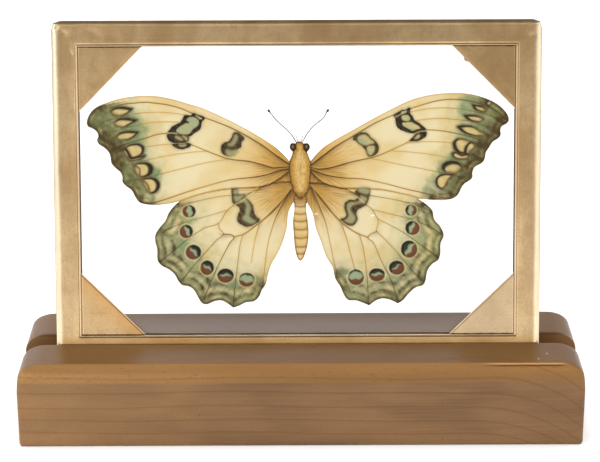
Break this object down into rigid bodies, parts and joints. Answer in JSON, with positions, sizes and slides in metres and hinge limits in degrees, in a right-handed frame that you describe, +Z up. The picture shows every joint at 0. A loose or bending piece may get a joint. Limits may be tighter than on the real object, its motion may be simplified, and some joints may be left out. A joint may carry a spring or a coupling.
{
  "type": "framed butterfly on wooden stand",
  "caption": "Butterfly sheet held between two glass panes in a brass frame that leans back in the groove of a wooden stand.",
  "frame": {"origin": "middle of the whole object's footprint box, on the surface that the stand rests on", "axes": "+X along the stand to the viewer's right, -Y towards the viewer, +Z up; the frame's top leans back towards +Y"},
  "size_m": [0.196, 0.0578, 0.1385],
  "materials": {
    "oiled_wood": "satin oiled wood, warm mid brown, grain along the length",
    "brushed_brass": "satin brass, softly mottled",
    "clear_glass": "clear polished glass",
    "butterfly_paper": "matt printed paper, cream with green and brown markings"
  },
  "bodies": {
    "root": {"wooden_base": "oiled_wood", "brass_frame": "brushed_brass", "corner_plate_top_left": "brushed_brass", "corner_plate_top_right": "brushed_brass", "corner_plate_bottom_left": "brushed_brass", "corner_plate_bottom_right": "brushed_brass", "front_glass": "clear_glass", "back_glass": "clear_glass", "butterfly": "butterfly_paper"}
  },
  "joints": []
}
